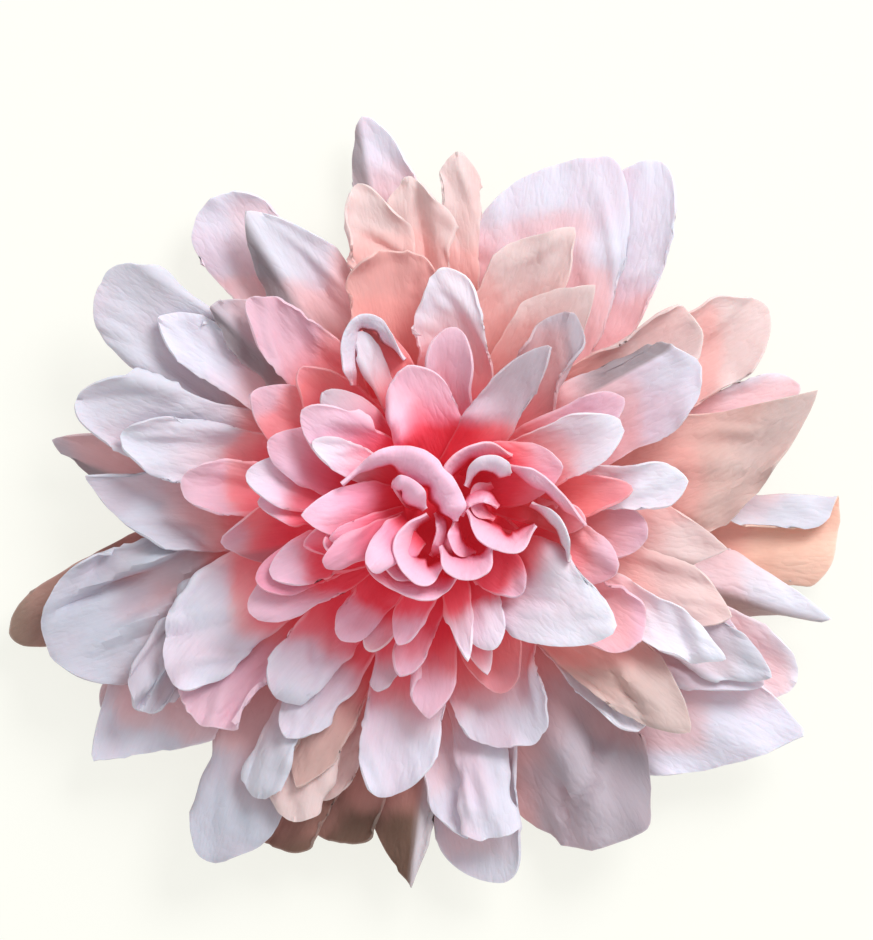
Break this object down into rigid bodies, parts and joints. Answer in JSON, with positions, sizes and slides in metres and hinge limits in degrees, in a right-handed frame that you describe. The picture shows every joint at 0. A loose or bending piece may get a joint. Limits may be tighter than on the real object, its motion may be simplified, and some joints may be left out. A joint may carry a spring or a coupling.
{
  "type": "layered paper flower",
  "caption": "Layered paper flower of overlapping cut petals, pale at the tips and red at the heart, glued round a paper cone on a card disc.",
  "frame": {"origin": "centre of the backing disc's bottom face", "axes": "+Z out of the flower's face along the disc's axis, away from the wall or table it lies on; +Y up in the picture; +X right in the picture"},
  "size_m": [0.1397, 0.1286, 0.0522],
  "materials": {
    "outer_paper": "matte, white to lilac at the tips with faint pink streaks and fine wrinkles, pink towards the root",
    "middle_paper": "matte, pale pink at the tips to coral at the root",
    "inner_paper": "matte, pink with pale edges to deep red at the root",
    "backing_card": "matte, plain card"
  },
  "bodies": {
    "root": {"backing_disc": "backing_card", "flower_heart": "inner_paper", "back_petal_01": "outer_paper", "back_petal_02": "outer_paper", "back_petal_03": "outer_paper", "back_petal_04": "outer_paper", "back_petal_05": "outer_paper", "back_petal_06": "outer_paper", "back_petal_07": "outer_paper", "back_petal_08": "outer_paper", "back_petal_09": "outer_paper", "back_petal_10": "outer_paper", "back_petal_11": "outer_paper", "back_petal_12": "outer_paper", "back_petal_13": "outer_paper", "back_petal_14": "outer_paper", "back_petal_15": "outer_paper", "back_petal_16": "outer_paper", "back_petal_17": "outer_paper", "back_petal_18": "outer_paper", "outer_petal_01": "outer_paper", "outer_petal_02": "outer_paper", "outer_petal_03": "outer_paper", "outer_petal_04": "outer_paper", "outer_petal_05": "outer_paper", "outer_petal_06": "outer_paper", "outer_petal_07": "outer_paper", "outer_petal_08": "outer_paper", "outer_petal_09": "outer_paper", "outer_petal_10": "outer_paper", "outer_petal_11": "outer_paper", "outer_petal_12": "outer_paper", "outer_petal_13": "outer_paper", "outer_petal_14": "outer_paper", "outer_petal_15": "outer_paper", "outer_petal_16": "outer_paper", "outer_petal_17": "outer_paper", "second_petal_01": "middle_paper", "second_petal_02": "middle_paper", "second_petal_03": "middle_paper", "second_petal_04": "middle_paper", "second_petal_05": "middle_paper", "second_petal_06": "middle_paper", "second_petal_07": "middle_paper", "second_petal_08": "middle_paper", "second_petal_09": "middle_paper", "second_petal_10": "middle_paper", "second_petal_11": "middle_paper", "second_petal_12": "middle_paper", "second_petal_13": "middle_paper", "third_petal_01": "middle_paper", "third_petal_02": "middle_paper", "third_petal_03": "middle_paper", "third_petal_04": "middle_paper", "third_petal_05": "middle_paper", "third_petal_06": "middle_paper", "third_petal_07": "middle_paper", "fourth_petal_01": "inner_paper", "fourth_petal_02": "inner_paper", "fourth_petal_03": "inner_paper"}
  },
  "joints": []
}
